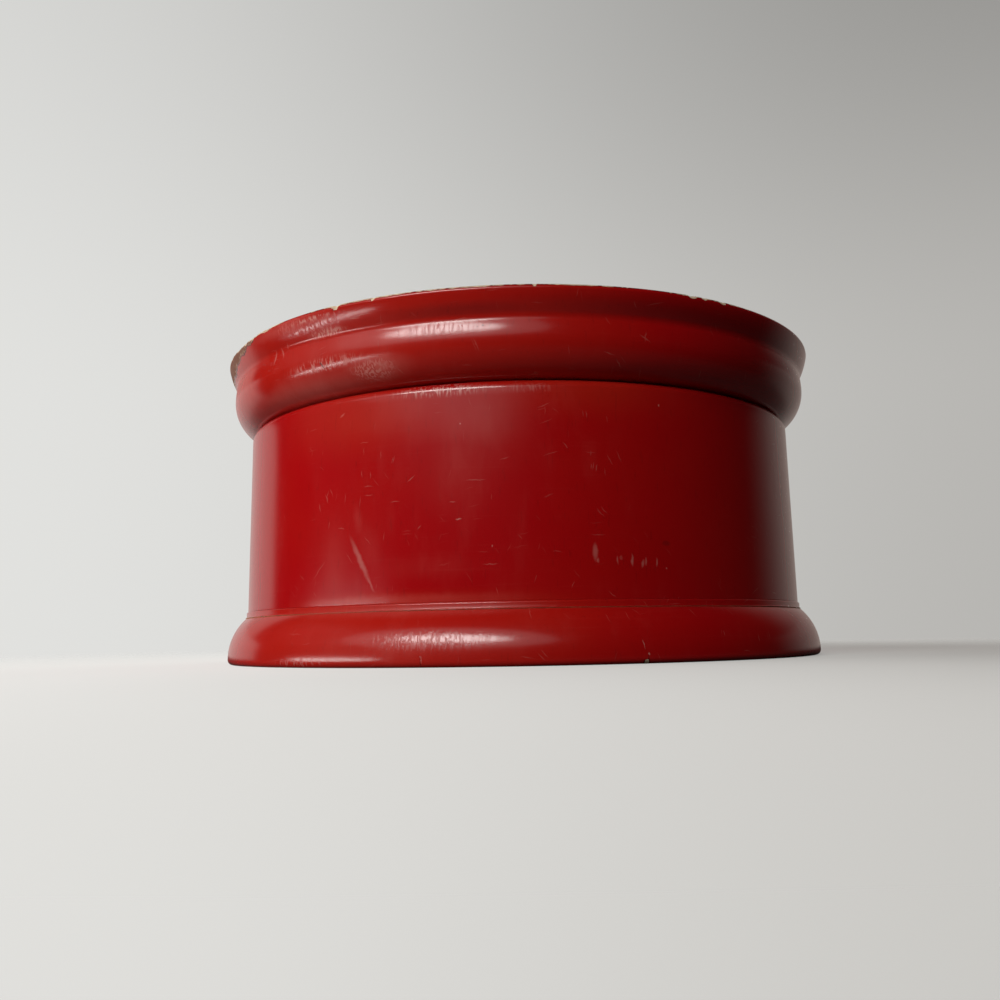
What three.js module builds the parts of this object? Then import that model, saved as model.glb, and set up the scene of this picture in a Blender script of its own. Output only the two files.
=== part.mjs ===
// A round turned wooden trinket box with a lift-off lid, in millimetres.
// +Z is up, the table is at z = 0 and the box's axis is the Z axis.
// Every piece is a solid of revolution, as it comes off the lathe.

import * as THREE from "three";

// Driving sizes
const footRadius = 65;
const footHeight = 10.9;
const bodyHeight = 49.5;
const bodyRadiusBottom = 60.9;
const bodyRadiusTop = 60.4;
const lidTop = 65;

// How finely a piece is turned, and how finely its curves are drawn
const segments = 72;
const largeCurveSteps = 9;
const smallCurveSteps = 4;

// Clearances between pieces
const glueGap = 0.1;
const slipGap = 0.3;
const seamGap = 0.25;

// The wall, the foot and the base board inside
const wallInside = 53.5;
const wallEdgeRound = 1.5;
const baseBoardThickness = 6;
const baseLedgeInside = 53;
const baseRebateRadius = 57.2;
const footEdgeRound = 1;
const footSideStart = 1.2;
const footSideRadius = 11.4;
const footSideAngle = 48;
const footFilletRadius = 61.2;
const footFilletRound = 0.3;

// The collar that locates the lid
const collarThickness = 2;
const collarSeat = 39.5;
const collarTop = 56;
const collarLeadIn = 0.6;

// The lid's moulding, from the top: a rounded edge, a flared lip, a cove and a large bead
const lipCrestRadius = 65.6;
const lipEdgeRound = 0.7;
const lipRadius = 14;
const lipTopAngle = 12;
const lipBottomAngle = 28;
const coveRadius = 2.2;
const beadUpperAngle = 10;
const beadUpperRadius = 15;
const beadLowerRadius = 7;
const beadLowerAngle = 64;
const lidUndercut = 1.2;

// The top board let into the moulding
const topBoardRadius = 58.8;
const topBoardThickness = 5.4;
const topBoardCrown = 0.7;
const topBoardJoint = 0.25;

const lacquer = { color: 0x8e0f14, roughness: 0.28, metalness: 0 };
const bareWood = { color: 0xc9a67a, roughness: 0.7, metalness: 0 };
const innerPaint = { color: 0x1d1412, roughness: 0.45, metalness: 0 };

const point = (radius, height) => new THREE.Vector2(radius, height);

// Points of an arc about a centre, with both angles in degrees from the outward direction.
function arc(centre, radius, fromAngle, toAngle, steps) {
  const points = [];
  for (let i = 0; i <= steps; i += 1) {
    const angle = THREE.MathUtils.degToRad(fromAngle + ((toAngle - fromAngle) * i) / steps);
    points.push(point(centre.x + radius * Math.cos(angle), centre.y + radius * Math.sin(angle)));
  }
  return points;
}

// The point at a distance from another, in a direction given in degrees.
function offset(from, distance, angle) {
  const turn = THREE.MathUtils.degToRad(angle);
  return point(from.x + distance * Math.cos(turn), from.y + distance * Math.sin(turn));
}

// Spins an outline, listed upwards along its outer side, about the Z axis.
function turned(name, outline, finish) {
  const geometry = new THREE.LatheGeometry(outline, segments);
  geometry.rotateX(Math.PI / 2);
  const mesh = new THREE.Mesh(geometry, new THREE.MeshStandardMaterial(finish));
  mesh.name = name;
  return mesh;
}

// A ring's outline closes on itself; a disc's starts and ends on the axis.
const closed = (outline) => [...outline, outline[0].clone()];

// The foot: a flat to stand on, a convex side and a small fillet under the wall
function footRing() {
  const sideCentre = point(footRadius - footSideRadius, footSideStart);
  const side = arc(sideCentre, footSideRadius, 0, footSideAngle, largeCurveSteps);
  const filletBase = side[side.length - 1].y;
  const edgeCentre = point(footRadius - footEdgeRound, footEdgeRound);
  const filletCentre = point(footFilletRadius - footFilletRound, footHeight - footFilletRound);
  const ledge = footHeight - baseBoardThickness;
  return turned("foot_ring", closed([
    point(baseLedgeInside, 0),
    ...arc(edgeCentre, footEdgeRound, -90, 0, smallCurveSteps),
    ...side,
    point(footFilletRadius, filletBase),
    ...arc(filletCentre, footFilletRound, 0, 90, smallCurveSteps),
    point(baseRebateRadius, footHeight),
    point(baseRebateRadius, ledge),
    point(baseLedgeInside, ledge),
  ]), lacquer);
}

// The base board lies in the foot's rebate, flush with the foot's top
function baseBoard() {
  const radius = baseRebateRadius - glueGap;
  const underside = footHeight - baseBoardThickness;
  return turned("base_board", [
    point(0, underside),
    point(radius, underside),
    point(radius, footHeight),
    point(0, footHeight),
  ], bareWood);
}

// The wall tapers a little and has a rebate at the top for the collar
function bodyWall() {
  const edgeCentre = point(bodyRadiusTop - wallEdgeRound, bodyHeight - wallEdgeRound);
  const rebate = wallInside + collarThickness + glueGap;
  return turned("body_wall", closed([
    point(bodyRadiusBottom, footHeight),
    ...arc(edgeCentre, wallEdgeRound, 0, 90, smallCurveSteps),
    point(rebate, bodyHeight),
    point(rebate, collarSeat),
    point(wallInside, collarSeat),
    point(wallInside, footHeight),
  ]), lacquer);
}

// The collar stands in the wall's rebate and rises into the lid
function lidCollar() {
  const outside = wallInside + collarThickness;
  return turned("lid_collar", closed([
    point(outside, collarSeat),
    point(outside, collarTop - collarLeadIn),
    point(outside - collarLeadIn, collarTop),
    point(wallInside + collarLeadIn / 2, collarTop),
    point(wallInside, collarTop - collarLeadIn / 2),
    point(wallInside, collarSeat),
  ]), innerPaint);
}

// The lid's moulding ring slips over the collar and shuts on the wall's top edge.
// Each arc touches the next one, so every centre follows from the one above it.
function lidMouldingRing() {
  const bottom = bodyHeight + seamGap;
  const inside = wallInside + collarThickness + slipGap;
  const edgeCentre = point(lipCrestRadius - lipEdgeRound, lidTop - lipEdgeRound);
  const lipCentre = offset(edgeCentre, lipRadius - lipEdgeRound, 180 - lipTopAngle);
  const coveCentre = offset(lipCentre, lipRadius + coveRadius, -lipBottomAngle);
  const upperCentre = offset(coveCentre, coveRadius + beadUpperRadius, 180 + beadUpperAngle);
  const lowerCentre = point(upperCentre.x + beadUpperRadius - beadLowerRadius, upperCentre.y);
  const coveBottomAngle = 180 + beadUpperAngle;
  const coveTopAngle = 180 - lipBottomAngle;
  const lower = arc(lowerCentre, beadLowerRadius, -beadLowerAngle, 0, largeCurveSteps);
  const upper = arc(upperCentre, beadUpperRadius, 0, beadUpperAngle, smallCurveSteps);
  const cove = arc(coveCentre, coveRadius, coveBottomAngle, coveTopAngle, smallCurveSteps);
  const lip = arc(lipCentre, lipRadius, -lipBottomAngle, -lipTopAngle, smallCurveSteps);
  const edge = arc(edgeCentre, lipEdgeRound, -lipTopAngle, 90, smallCurveSteps);
  const boardUnderside = lidTop - topBoardThickness;
  return turned("lid_moulding_ring", closed([
    point(inside, bottom),
    point(lower[0].x - lidUndercut, bottom),
    ...lower,
    ...upper.slice(1),
    ...cove.slice(1),
    ...lip.slice(1),
    ...edge.slice(1),
    point(topBoardRadius, lidTop),
    point(topBoardRadius, boardUnderside),
    point(inside, boardUnderside),
  ]), lacquer);
}

// The top board lies in the moulding's rebate and is slightly crowned
function lidTopBoard() {
  const radius = topBoardRadius - glueGap;
  const underside = lidTop - topBoardThickness;
  const edge = lidTop - topBoardJoint;
  const crownRadius = (radius ** 2 + topBoardCrown ** 2) / (2 * topBoardCrown);
  const crown = [];
  const steps = 6;
  for (let i = 0; i <= steps; i += 1) {
    const across = radius - topBoardJoint - ((radius - topBoardJoint) * i) / steps;
    const drop = crownRadius - Math.sqrt(crownRadius ** 2 - across ** 2);
    crown.push(point(across, lidTop + topBoardCrown - drop));
  }
  return turned("lid_top_board", [
    point(0, underside),
    point(radius, underside),
    point(radius, edge),
    ...crown,
  ], lacquer);
}

const body = new THREE.Group();
body.add(footRing(), baseBoard(), bodyWall(), lidCollar());

const lid = new THREE.Group();
lid.add(lidMouldingRing(), lidTopBoard());

const trinketBox = new THREE.Group();
trinketBox.add(body, lid);

export default trinketBox;
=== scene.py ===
# %% [markdown]
# A turned wooden trinket box in worn red lacquer. The real box came off a lathe, so almost every
# shape here is an outline spun about the upright axis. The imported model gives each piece's place
# and size, and this lesson gives each piece its fine surface, its wear and its finish.

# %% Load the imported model
import math

import bmesh
import bpy
from mathutils import Matrix, Vector, noise


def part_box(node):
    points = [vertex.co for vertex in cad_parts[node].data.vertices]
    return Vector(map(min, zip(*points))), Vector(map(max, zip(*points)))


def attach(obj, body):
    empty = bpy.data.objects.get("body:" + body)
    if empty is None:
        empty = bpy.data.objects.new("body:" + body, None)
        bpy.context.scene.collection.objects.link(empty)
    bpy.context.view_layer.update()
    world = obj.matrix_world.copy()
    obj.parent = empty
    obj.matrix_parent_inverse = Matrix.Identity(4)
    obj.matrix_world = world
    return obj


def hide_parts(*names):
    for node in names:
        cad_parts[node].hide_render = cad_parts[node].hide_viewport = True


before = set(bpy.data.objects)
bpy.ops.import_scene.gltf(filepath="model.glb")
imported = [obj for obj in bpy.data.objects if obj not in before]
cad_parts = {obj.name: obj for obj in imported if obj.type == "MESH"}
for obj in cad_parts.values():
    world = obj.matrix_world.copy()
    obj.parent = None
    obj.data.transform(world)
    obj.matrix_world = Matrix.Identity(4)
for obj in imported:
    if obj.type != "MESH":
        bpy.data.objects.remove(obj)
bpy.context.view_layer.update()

# %% [markdown]
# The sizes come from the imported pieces: each piece's box gives its radius and its heights. Only
# the small rounds and the moulding's curves are written here, in millimetres, as on a drawing.

# %% Sizes from the frame
MM = 0.001


def radius_of(node):
    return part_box(node)[1].x


def bottom_of(node):
    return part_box(node)[0].z


def top_of(node):
    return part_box(node)[1].z


foot_radius = radius_of("foot_ring")
foot_top = top_of("foot_ring")
wall_radius = radius_of("body_wall")
wall_top = top_of("body_wall")
board_bottom = bottom_of("base_board")
board_radius = radius_of("base_board")
collar_radius = radius_of("lid_collar")
collar_bottom = bottom_of("lid_collar")
collar_top = top_of("lid_collar")
lid_bottom = bottom_of("lid_moulding_ring")
lid_top = top_of("lid_moulding_ring")
lip_crest = radius_of("lid_moulding_ring")
panel_radius = radius_of("lid_top_board")
panel_bottom = bottom_of("lid_top_board")
panel_top = top_of("lid_top_board")
print(f"foot radius {foot_radius / MM:.1f} mm, lid top {lid_top / MM:.1f} mm")

# %% [markdown]
# The camera stands where the photographer's did: about three and a half foot radii from the axis,
# just above the table, and tilted up a little. The lens is a phone's wide one, which is what makes
# the lid's rim arch upwards.

# %% The camera
EYE_DISTANCE = 3.528 * foot_radius
EYE_HEIGHT = 0.080 * foot_radius
PITCH = math.radians(7.74)
HEADING = math.radians(1.12)
ROLL = math.radians(-1.06)
SENSOR = 36.0
LENS = 35.73


def make_camera():
    data = bpy.data.cameras.new("camera")
    data.sensor_width = SENSOR
    data.lens = LENS
    data.clip_start = 5 * MM
    camera = bpy.data.objects.new("camera", data)
    aim = Matrix.Rotation(HEADING, 4, "Z") @ Matrix.Rotation(math.radians(90) + PITCH, 4, "X")
    eye = Matrix.Translation((0, -EYE_DISTANCE, EYE_HEIGHT))
    camera.matrix_world = eye @ aim @ Matrix.Rotation(ROLL, 4, "Z")
    bpy.context.scene.collection.objects.link(camera)
    bpy.context.scene.camera = camera


make_camera()
bpy.context.scene.view_settings.view_transform = "Standard"

# %% [markdown]
# A piece of turning is one outline, drawn as radius and height. Round stretches are arcs, and
# spin sweeps the outline about the axis. The pole of a disc comes out as a fan of stacked points,
# so doubles are merged and the normals are recalculated before anything else is done to the mesh.
# Straight stretches that will be worn or knocked later get points along them too, and a piece
# with a worn edge is spun in finer steps, because its chips are made of those points.

# %% Outlines and turning
TURN_STEPS = 360
FOOT_STEPS = 540
MOULDING_STEPS = 840
SHARP_EDGE = 35


def arc(centre, radius, start, end, steps):
    """Points of an arc, with angles in degrees from the outward direction."""
    points = []
    for i in range(steps + 1):
        angle = math.radians(start + (end - start) * i / steps)
        points.append((centre[0] + radius * math.cos(angle), centre[1] + radius * math.sin(angle)))
    return points


def along(point, distance, angle):
    """The point at a distance from another, in a direction in degrees."""
    turn = math.radians(angle)
    return (point[0] + distance * math.cos(turn), point[1] + distance * math.sin(turn))


def between(first, second, steps):
    """Points that part a straight stretch, without its two ends."""
    shares = [i / steps for i in range(1, steps)]
    return [tuple(a + (b - a) * share for a, b in zip(first, second)) for share in shares]


def turned(name, outline, body, nodes, ring=True, soften=0.1 * MM, steps=TURN_STEPS):
    """Spins an outline into a closed piece, softens its sharp edges and puts it in the frame."""
    maker = bmesh.new()
    verts = [maker.verts.new((radius, 0, height)) for radius, height in outline]
    edges = [maker.edges.new(pair) for pair in zip(verts, verts[1:])]
    if ring:
        edges.append(maker.edges.new((verts[-1], verts[0])))
    bmesh.ops.spin(
        maker, geom=verts + edges, cent=(0, 0, 0), axis=(0, 0, 1),
        angle=math.tau, steps=steps, use_merge=True,
    )
    bmesh.ops.remove_doubles(maker, verts=maker.verts[:], dist=0.001 * MM)
    bmesh.ops.recalc_face_normals(maker, faces=maker.faces[:])
    sharp = [e for e in maker.edges if e.calc_face_angle(0) > math.radians(SHARP_EDGE)]
    bmesh.ops.bevel(
        maker, geom=sharp, offset=soften, offset_type="OFFSET", affect="EDGES",
        segments=2, profile=0.5, material=-1,
    )
    mesh = bpy.data.meshes.new(name)
    maker.to_mesh(mesh)
    maker.free()
    mesh.shade_smooth()
    piece = bpy.data.objects.new(name, mesh)
    bpy.context.scene.collection.objects.link(piece)
    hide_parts(*nodes)
    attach(piece, body)
    print(f"{name}: {len(mesh.polygons)} faces")
    return piece


# %% [markdown]
# The foot is a thick ring. Its side is one convex arc that ends in a small fillet under the wall,
# and its bottom edge is rounded so that it doesn't chip. Inside, a rebate holds the base board.

# %% The foot
FOOT_SIDE_START = 1.2 * MM
FOOT_SIDE_RADIUS = 11.4 * MM
FOOT_SIDE_ANGLE = 48
FOOT_FILLET_RADIUS = 61.2 * MM
FOOT_EDGE_ROUND = 1.0 * MM
FOOT_INSIDE = 53.0 * MM
FILLET_ROUND = 0.3 * MM
GLUE_GAP = 0.1 * MM


def foot_outline():
    side_centre = (foot_radius - FOOT_SIDE_RADIUS, FOOT_SIDE_START)
    edge_centre = (foot_radius - FOOT_EDGE_ROUND, FOOT_EDGE_ROUND)
    side = arc(side_centre, FOOT_SIDE_RADIUS, 0, FOOT_SIDE_ANGLE, 32)
    fillet_centre = (FOOT_FILLET_RADIUS - FILLET_ROUND, foot_top - FILLET_ROUND)
    edge = arc(edge_centre, FOOT_EDGE_ROUND, -90, 0, 8)
    return [
        (FOOT_INSIDE, 0),
        *between((FOOT_INSIDE, 0), edge[0], 12),
        *edge,
        *side,
        (FOOT_FILLET_RADIUS, side[-1][1]),
        *arc(fillet_centre, FILLET_ROUND, 0, 90, 4),
        (board_radius + GLUE_GAP, foot_top),
        (board_radius + GLUE_GAP, board_bottom),
        (FOOT_INSIDE, board_bottom),
    ]


foot = turned(
    "foot", foot_outline(), "box_body", ["foot_ring"],
    soften=0.25 * MM, steps=FOOT_STEPS,
)

# %% [markdown]
# The base board, the wall and the collar share the same way of making. The wall tapers by half a
# millimetre and its top edge is rounded, which is what catches the light under the lid.

# %% The base board, the wall and the collar
WALL_INSIDE = 53.5 * MM
WALL_TOP_RADIUS = 60.4 * MM
WALL_EDGE_ROUND = 1.5 * MM
WALL_TAPER_START = 0.2 * MM
COLLAR_LEAD_IN = 0.6 * MM


def wall_outline():
    edge_centre = (WALL_TOP_RADIUS - WALL_EDGE_ROUND, wall_top - WALL_EDGE_ROUND)
    edge = arc(edge_centre, WALL_EDGE_ROUND, 0, 90, 10)
    rebate = collar_radius + GLUE_GAP
    taper_start = (wall_radius, foot_top + WALL_TAPER_START)
    return [
        (wall_radius, foot_top),
        taper_start,
        *between(taper_start, edge[0], 30),
        *edge,
        (rebate, wall_top),
        (rebate, collar_bottom),
        (WALL_INSIDE, collar_bottom),
        (WALL_INSIDE, foot_top),
    ]


def collar_outline():
    return [
        (collar_radius, collar_bottom),
        (collar_radius, collar_top - COLLAR_LEAD_IN),
        (collar_radius - COLLAR_LEAD_IN, collar_top),
        (WALL_INSIDE + COLLAR_LEAD_IN / 2, collar_top),
        (WALL_INSIDE, collar_top - COLLAR_LEAD_IN / 2),
        (WALL_INSIDE, collar_bottom),
    ]


def board_outline():
    return [
        (0, board_bottom),
        (board_radius, board_bottom),
        (board_radius, foot_top),
        (0, foot_top),
    ]


wall = turned("wall", wall_outline(), "box_body", ["body_wall"], soften=0.05 * MM)
board = turned(
    "bottom_board", board_outline(), "box_body", ["base_board"], ring=False,
)
collar = turned(
    "collar", collar_outline(), "box_body", ["lid_collar"], soften=0.15 * MM,
)

# %% [markdown]
# The lid's moulding is the showpiece. From the top it has a rounded edge, a lip that flares
# outwards, a cove, and a large bead that turns under into a shadow gap. The arcs are laid out as
# a draughtsman would, each one touching the last and sharing its direction there, so the light
# runs over the moulding without a break.

# %% The lid's moulding and its top
LIP_EDGE_ROUND = 0.7 * MM
LIP_RADIUS = 14 * MM
LIP_TOP_ANGLE = 12
LIP_BOTTOM_ANGLE = 28
COVE_RADIUS = 2.2 * MM
BEAD_UPPER_ANGLE = 10
BEAD_UPPER_RADIUS = 15 * MM
BEAD_LOWER_RADIUS = 7 * MM
BEAD_LOWER_ANGLE = 64
LID_UNDERCUT = 1.2 * MM
LID_INSIDE = 55.8 * MM
PANEL_JOINT = 0.25 * MM
CROWN_STEPS = 24


def moulding_outline():
    edge_centre = (lip_crest - LIP_EDGE_ROUND, lid_top - LIP_EDGE_ROUND)
    lip_centre = along(edge_centre, LIP_RADIUS - LIP_EDGE_ROUND, 180 - LIP_TOP_ANGLE)
    cove_centre = along(lip_centre, LIP_RADIUS + COVE_RADIUS, -LIP_BOTTOM_ANGLE)
    upper_centre = along(cove_centre, COVE_RADIUS + BEAD_UPPER_RADIUS, 180 + BEAD_UPPER_ANGLE)
    lower_centre = (upper_centre[0] + BEAD_UPPER_RADIUS - BEAD_LOWER_RADIUS, upper_centre[1])
    lower = arc(lower_centre, BEAD_LOWER_RADIUS, -BEAD_LOWER_ANGLE, 0, 28)
    edge = arc(edge_centre, LIP_EDGE_ROUND, -LIP_TOP_ANGLE, 90, 8)
    rebate = panel_radius + GLUE_GAP
    return [
        (LID_INSIDE, lid_bottom),
        (lower[0][0] - LID_UNDERCUT, lid_bottom),
        *lower,
        *arc(upper_centre, BEAD_UPPER_RADIUS, 0, BEAD_UPPER_ANGLE, 10)[1:],
        *arc(cove_centre, COVE_RADIUS, 180 + BEAD_UPPER_ANGLE, 180 - LIP_BOTTOM_ANGLE, 10)[1:],
        *arc(lip_centre, LIP_RADIUS, -LIP_BOTTOM_ANGLE, -LIP_TOP_ANGLE, 12)[1:],
        *edge[1:],
        *between(edge[-1], (rebate, lid_top), 12),
        (rebate, lid_top),
        (rebate, panel_bottom),
        (LID_INSIDE, panel_bottom),
    ]


def panel_outline():
    crown = panel_top - lid_top
    across = panel_radius - PANEL_JOINT
    crown_radius = (panel_radius**2 + crown**2) / (2 * crown)
    top = []
    for i in range(CROWN_STEPS + 1):
        radius = across * (1 - i / CROWN_STEPS)
        top.append((radius, panel_top - crown_radius + math.sqrt(crown_radius**2 - radius**2)))
    return [
        (0, panel_bottom),
        (panel_radius, panel_bottom),
        (panel_radius, lid_top - PANEL_JOINT),
        *top,
    ]


moulding = turned(
    "lid_moulding", moulding_outline(), "lid", ["lid_moulding_ring"],
    soften=0.05 * MM, steps=MOULDING_STEPS,
)
panel = turned("lid_panel", panel_outline(), "lid", ["lid_top_board"], ring=False)

# %% [markdown]
# Old turning is never quite true: wood shrinks more one way than the other, and sanding leaves
# shallow waves. Drawing each outer skin in by a few hundredths of a millimetre, with a smooth
# noise, makes the highlights wander as they do on the real box. It only ever moves inwards, so
# the sizes stay inside the model's box.

# %% Shrinkage and sanding waves
# Each wave has a spacing and a depth.
SHRINKAGE = (34 * MM, 0.10 * MM)
SANDING = (9 * MM, 0.02 * MM)
FOOT_SKIN = 60 * MM
WALL_SKIN = 59.5 * MM
MOULDING_SKIN = 60.5 * MM


def wander(place, spacing, amount):
    """A smooth wander between nothing and an amount, the same on every run."""
    return amount * (0.5 + 0.5 * noise.noise(place / spacing))


def draw_in(piece, skin):
    """Draws in the points that lie further out than the skin's inner radius."""
    for vertex in piece.data.vertices:
        reach = math.hypot(vertex.co.x, vertex.co.y)
        if reach > skin:
            drawn = wander(vertex.co, *SHRINKAGE) + wander(vertex.co, *SANDING)
            vertex.co.xy = vertex.co.xy * (1 - drawn / reach)


draw_in(foot, FOOT_SKIN)
draw_in(wall, WALL_SKIN)
draw_in(moulding, MOULDING_SKIN)

# %% [markdown]
# Edges wear first. A worn edge is a slanted cut across the rounded corner, too shallow to notice in
# most places and deeper where the box was knocked. The cut moves real points, so chips show in the
# outline, and where it bites, an attribute on the points says how bare the wood is. The finish
# reads that attribute.

# %% Worn and chipped edges
DEEPEST_CUT = 2.0 * MM
BARE_DEPTH = 0.16 * MM
KNOCK_AZIMUTH = -62
KNOCK_HALF_WIDTH = 20
RIM_WEAR = 0.33 * MM
RIM_WEAR_LEAN = 0.05 * MM
RIM_WAVES = (14 * MM, 0.16 * MM)
RIM_NIBBLES = (1.0 * MM, 0.12 * MM)
KNOCK_DENTS = (3 * MM, 0.5 * MM)
KNOCK_NIBBLES = (1.0 * MM, 0.35 * MM)
FOOT_WEAR = 0.46 * MM
FOOT_NIBBLES = (1.6 * MM, 0.12 * MM)
CHIP_GRAIN = 0.6 * MM
# Each chip is an azimuth in degrees, and a width and a depth in millimetres.
RIM_CHIPS = (
    (-29.8, 1.6, 0.65), (-22.8, 0.6, 0.4), (29.2, 1.6, 0.4), (31.6, 0.8, 0.35), (35.6, 1.8, 0.4),
    (3.0, 0.9, 0.25), (71.0, 1.8, 0.5), (112.0, 2.6, 0.6), (158.0, 1.5, 0.6),
    (-104.0, 2.2, 0.8), (-131.0, 1.2, 0.5), (-165.0, 3.0, 0.45),
)
FOOT_CHIPS = (
    (18.9, 0.8, 0.35), (-15.0, 0.5, 0.3), (104.0, 2.6, 0.6), (141.0, 1.2, 0.5),
    (-97.0, 2.2, 0.5), (-150.0, 1.4, 0.5),
)


def azimuth_of(place):
    """Degrees round from the front, positive towards +X."""
    return math.degrees(math.atan2(place.x, -place.y))


def chipped(place, chips):
    """The deepest chip at a place."""
    reach = math.hypot(place.x, place.y)
    ragged = 0.75 + 0.5 * noise.noise(place / CHIP_GRAIN)
    deepest = 0.0
    for azimuth, width, depth in chips:
        away = abs(math.radians(azimuth_of(place) - azimuth)) * reach / (width * MM / 2)
        if away < 1:
            deepest = max(deepest, depth * MM * (1 - away**4) * ragged)
    return deepest


def rim_cut(place):
    """How deep the rim is cut: most on the knocked side, least opposite it."""
    from_knock = azimuth_of(place) - KNOCK_AZIMUTH
    knock = max(0.0, 1 - (from_knock / KNOCK_HALF_WIDTH) ** 2)
    worn = RIM_WEAR + RIM_WEAR_LEAN * math.cos(math.radians(from_knock))
    worn += wander(place, *RIM_WAVES) + wander(place, *RIM_NIBBLES)
    knocked = knock * (wander(place, *KNOCK_DENTS) + wander(place, *KNOCK_NIBBLES))
    return worn + knocked + chipped(place, RIM_CHIPS)


def foot_cut(place):
    return FOOT_WEAR + wander(place, *FOOT_NIBBLES) + chipped(place, FOOT_CHIPS)


def wear_edge(piece, radius, height, upward, cut_at):
    """Cuts across an outer edge. Upward is 1 for a top edge and -1 for a bottom one."""
    bareness = []
    for vertex in piece.data.vertices:
        reach = math.hypot(vertex.co.x, vertex.co.y)
        over = (reach - radius) + (vertex.co.z - height) * upward
        over += cut_at(vertex.co) if over > -DEEPEST_CUT else 0
        if over > 0:
            vertex.co.xy = vertex.co.xy * (1 - over / 2 / reach)
            vertex.co.z -= upward * over / 2
        bareness.append(min(1.0, max(0.0, 0.5 + over / BARE_DEPTH)))
    bare = piece.data.attributes.new("bare", "FLOAT", "POINT")
    bare.data.foreach_set("value", bareness)
    piece.data.update()
    print(f"{piece.name}: {sum(b > 0.5 for b in bareness)} points worn bare")


wear_edge(moulding, lip_crest, lid_top, 1, rim_cut)
wear_edge(foot, foot_radius, 0.0, -1, foot_cut)

# %% [markdown]
# Shader trees get long, so a few helpers keep each line about one idea: one adds a node and fills
# its sockets, with links where the value is a socket, and others make the usual sums and mixes.

# %% Shader helpers
FLOAT = "NodeSocketFloat"
VECTOR = "NodeSocketVector"


def fill(tree, node, values):
    """Sets a node's inputs: a socket is linked, anything else is its plain value."""
    for key, value in values.items():
        if isinstance(value, bpy.types.NodeSocket):
            tree.links.new(value, node.inputs[key])
        else:
            node.inputs[key].default_value = value


def add(tree, kind, values=None, **settings):
    made = tree.nodes.new(kind)
    for setting, value in settings.items():
        setattr(made, setting, value)
    fill(tree, made, values or {})
    return made


def calc(tree, operation, first, second=0.0, third=0.0, clamp=False):
    values = {0: first, 1: second, 2: third}
    return add(tree, "ShaderNodeMath", values, operation=operation, use_clamp=clamp).outputs[0]


def blend(tree, factor, first, second):
    node = add(tree, "ShaderNodeMix", {0: factor, 6: first, 7: second}, data_type="RGBA")
    return node.outputs[2]


def ramp(tree, value, low, high, start=0.0, end=1.0):
    """A smooth step from start to end as value goes from low to high."""
    node = add(
        tree, "ShaderNodeMapRange", {0: value, 1: low, 2: high, 3: start, 4: end},
        interpolation_type="SMOOTHSTEP",
    )
    return node.outputs[0]


def noise_at(tree, vector, scale, detail=3.0, roughness=0.5):
    values = {"Vector": vector, "Scale": scale, "Detail": detail, "Roughness": roughness}
    return add(tree, "ShaderNodeTexNoise", values).outputs["Fac"]


def stretched(tree, vector, scale):
    return add(tree, "ShaderNodeMapping", {"Vector": vector, "Scale": scale}).outputs[0]


def new_group(name, inputs, outputs):
    """An empty shader group, with its named inputs and outputs made."""
    group = bpy.data.node_groups.new(name, "ShaderNodeTree")
    for label, kind, default in inputs:
        socket = group.interface.new_socket(name=label, in_out="INPUT", socket_type=kind)
        if default is not None:
            socket.default_value = default
    for label, kind in outputs:
        group.interface.new_socket(name=label, in_out="OUTPUT", socket_type=kind)
    source = group.nodes.new("NodeGroupInput")
    sink = group.nodes.new("NodeGroupOutput")
    return group, source.outputs, sink


def use(tree, group, values):
    return add(tree, "ShaderNodeGroup", values, node_tree=group).outputs


# %% [markdown]
# The wood's grain runs up and down, parallel to the axis, and shows through the lacquer as fine
# upright ticks in the highlights. A noise in object space, squeezed along Z, gives streaks that
# stay upright on every side with no seam.

# %% Grain under the lacquer
def make_grain_group():
    group, given, out = new_group(
        "Upright grain",
        [("Vector", VECTOR, None), ("Fineness", FLOAT, 2500.0)],
        [("Streaks", FLOAT), ("Ticks", FLOAT), ("Pores", FLOAT)],
    )
    place = given["Vector"]
    streaks = noise_at(group, stretched(group, place, (1, 1, 0.18)), given["Fineness"], 2.0, 0.5)
    pores = noise_at(group, stretched(group, place, (1, 1, 0.14)), given["Fineness"], 1.0)
    group.links.new(streaks, out.inputs["Streaks"])
    group.links.new(ramp(group, streaks, 0.48, 0.58), out.inputs["Ticks"])
    group.links.new(ramp(group, pores, 0.64, 0.76), out.inputs["Pores"])
    return group


grain_group = make_grain_group()

# %% [markdown]
# A scratch or a crack sits at one place on the box, so it helps to unroll the round surface like
# a label: millimetres round from the front, and millimetres up. A stroke is then a soft ellipse
# on that label, and a Texture mapping node moves, turns and shrinks the label onto it. A flat
# top has no place on such a label, and a mark at the edge would run across it as a bar, so the
# group also gives a mask of the side. Hairline scratches are too many to place one by one: each
# cell of a stretched Voronoi texture gives a dash, and a few cells in a hundred keep theirs.

# %% The label and the stroke
# Millimetres below the flat top, and in from the outer radius, over which the side begins.
BELOW_TOP = (0.10, 0.35)
IN_FROM_SIDE = (0.7, 1.9)
DASH_EDGE = (0.03, 0.20)
DASH_KEPT = (0.93, 0.99)


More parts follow.
